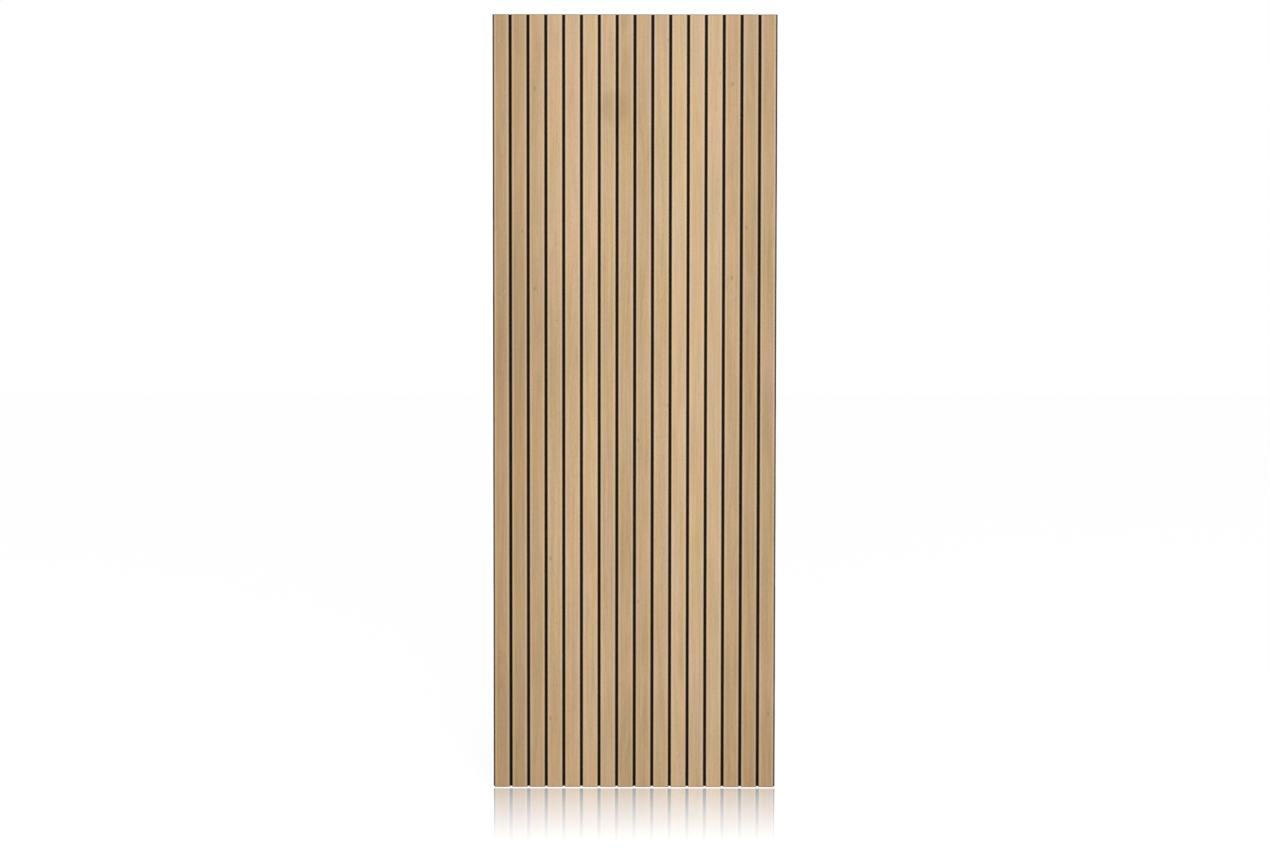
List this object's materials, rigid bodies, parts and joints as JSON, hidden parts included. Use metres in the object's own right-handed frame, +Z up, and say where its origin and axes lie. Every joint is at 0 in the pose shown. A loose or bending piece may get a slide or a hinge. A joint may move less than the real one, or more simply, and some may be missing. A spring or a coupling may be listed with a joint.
{
  "type": "acoustic slat wall panel",
  "caption": "Upright wall panel: narrow oak-faced slats on a black felt board, with dark gaps between, fixed flat to a wall to cover it and soften sound.",
  "frame": {"origin": "centre of the felt board's wall side, which lies flat on the wall", "axes": "+X to the right as seen from the room, +Y into the wall, +Z up along the slats; the oak faces look along -Y"},
  "size_m": [0.6, 0.021, 1.64],
  "materials": {
    "oak_veneer": "matte",
    "black_dyed_board": "matte",
    "black_felt": "matte",
    "staple_steel": "satin"
  },
  "bodies": {
    "root": {"felt_backing": "black_felt", "slat_core_01": "black_dyed_board", "slat_core_02": "black_dyed_board", "slat_core_03": "black_dyed_board", "slat_core_04": "black_dyed_board", "slat_core_05": "black_dyed_board", "slat_core_06": "black_dyed_board", "slat_core_07": "black_dyed_board", "slat_core_08": "black_dyed_board", "slat_core_09": "black_dyed_board", "slat_core_10": "black_dyed_board", "slat_core_11": "black_dyed_board", "slat_core_12": "black_dyed_board", "slat_core_13": "black_dyed_board", "slat_core_14": "black_dyed_board", "slat_core_15": "black_dyed_board", "slat_core_16": "black_dyed_board", "slat_veneer_01": "oak_veneer", "slat_veneer_02": "oak_veneer", "slat_veneer_03": "oak_veneer", "slat_veneer_04": "oak_veneer", "slat_veneer_05": "oak_veneer", "slat_veneer_06": "oak_veneer", "slat_veneer_07": "oak_veneer", "slat_veneer_08": "oak_veneer", "slat_veneer_09": "oak_veneer", "slat_veneer_10": "oak_veneer", "slat_veneer_11": "oak_veneer", "slat_veneer_12": "oak_veneer", "slat_veneer_13": "oak_veneer", "slat_veneer_14": "oak_veneer", "slat_veneer_15": "oak_veneer", "slat_veneer_16": "oak_veneer", "staples": "staple_steel"}
  },
  "joints": []
}
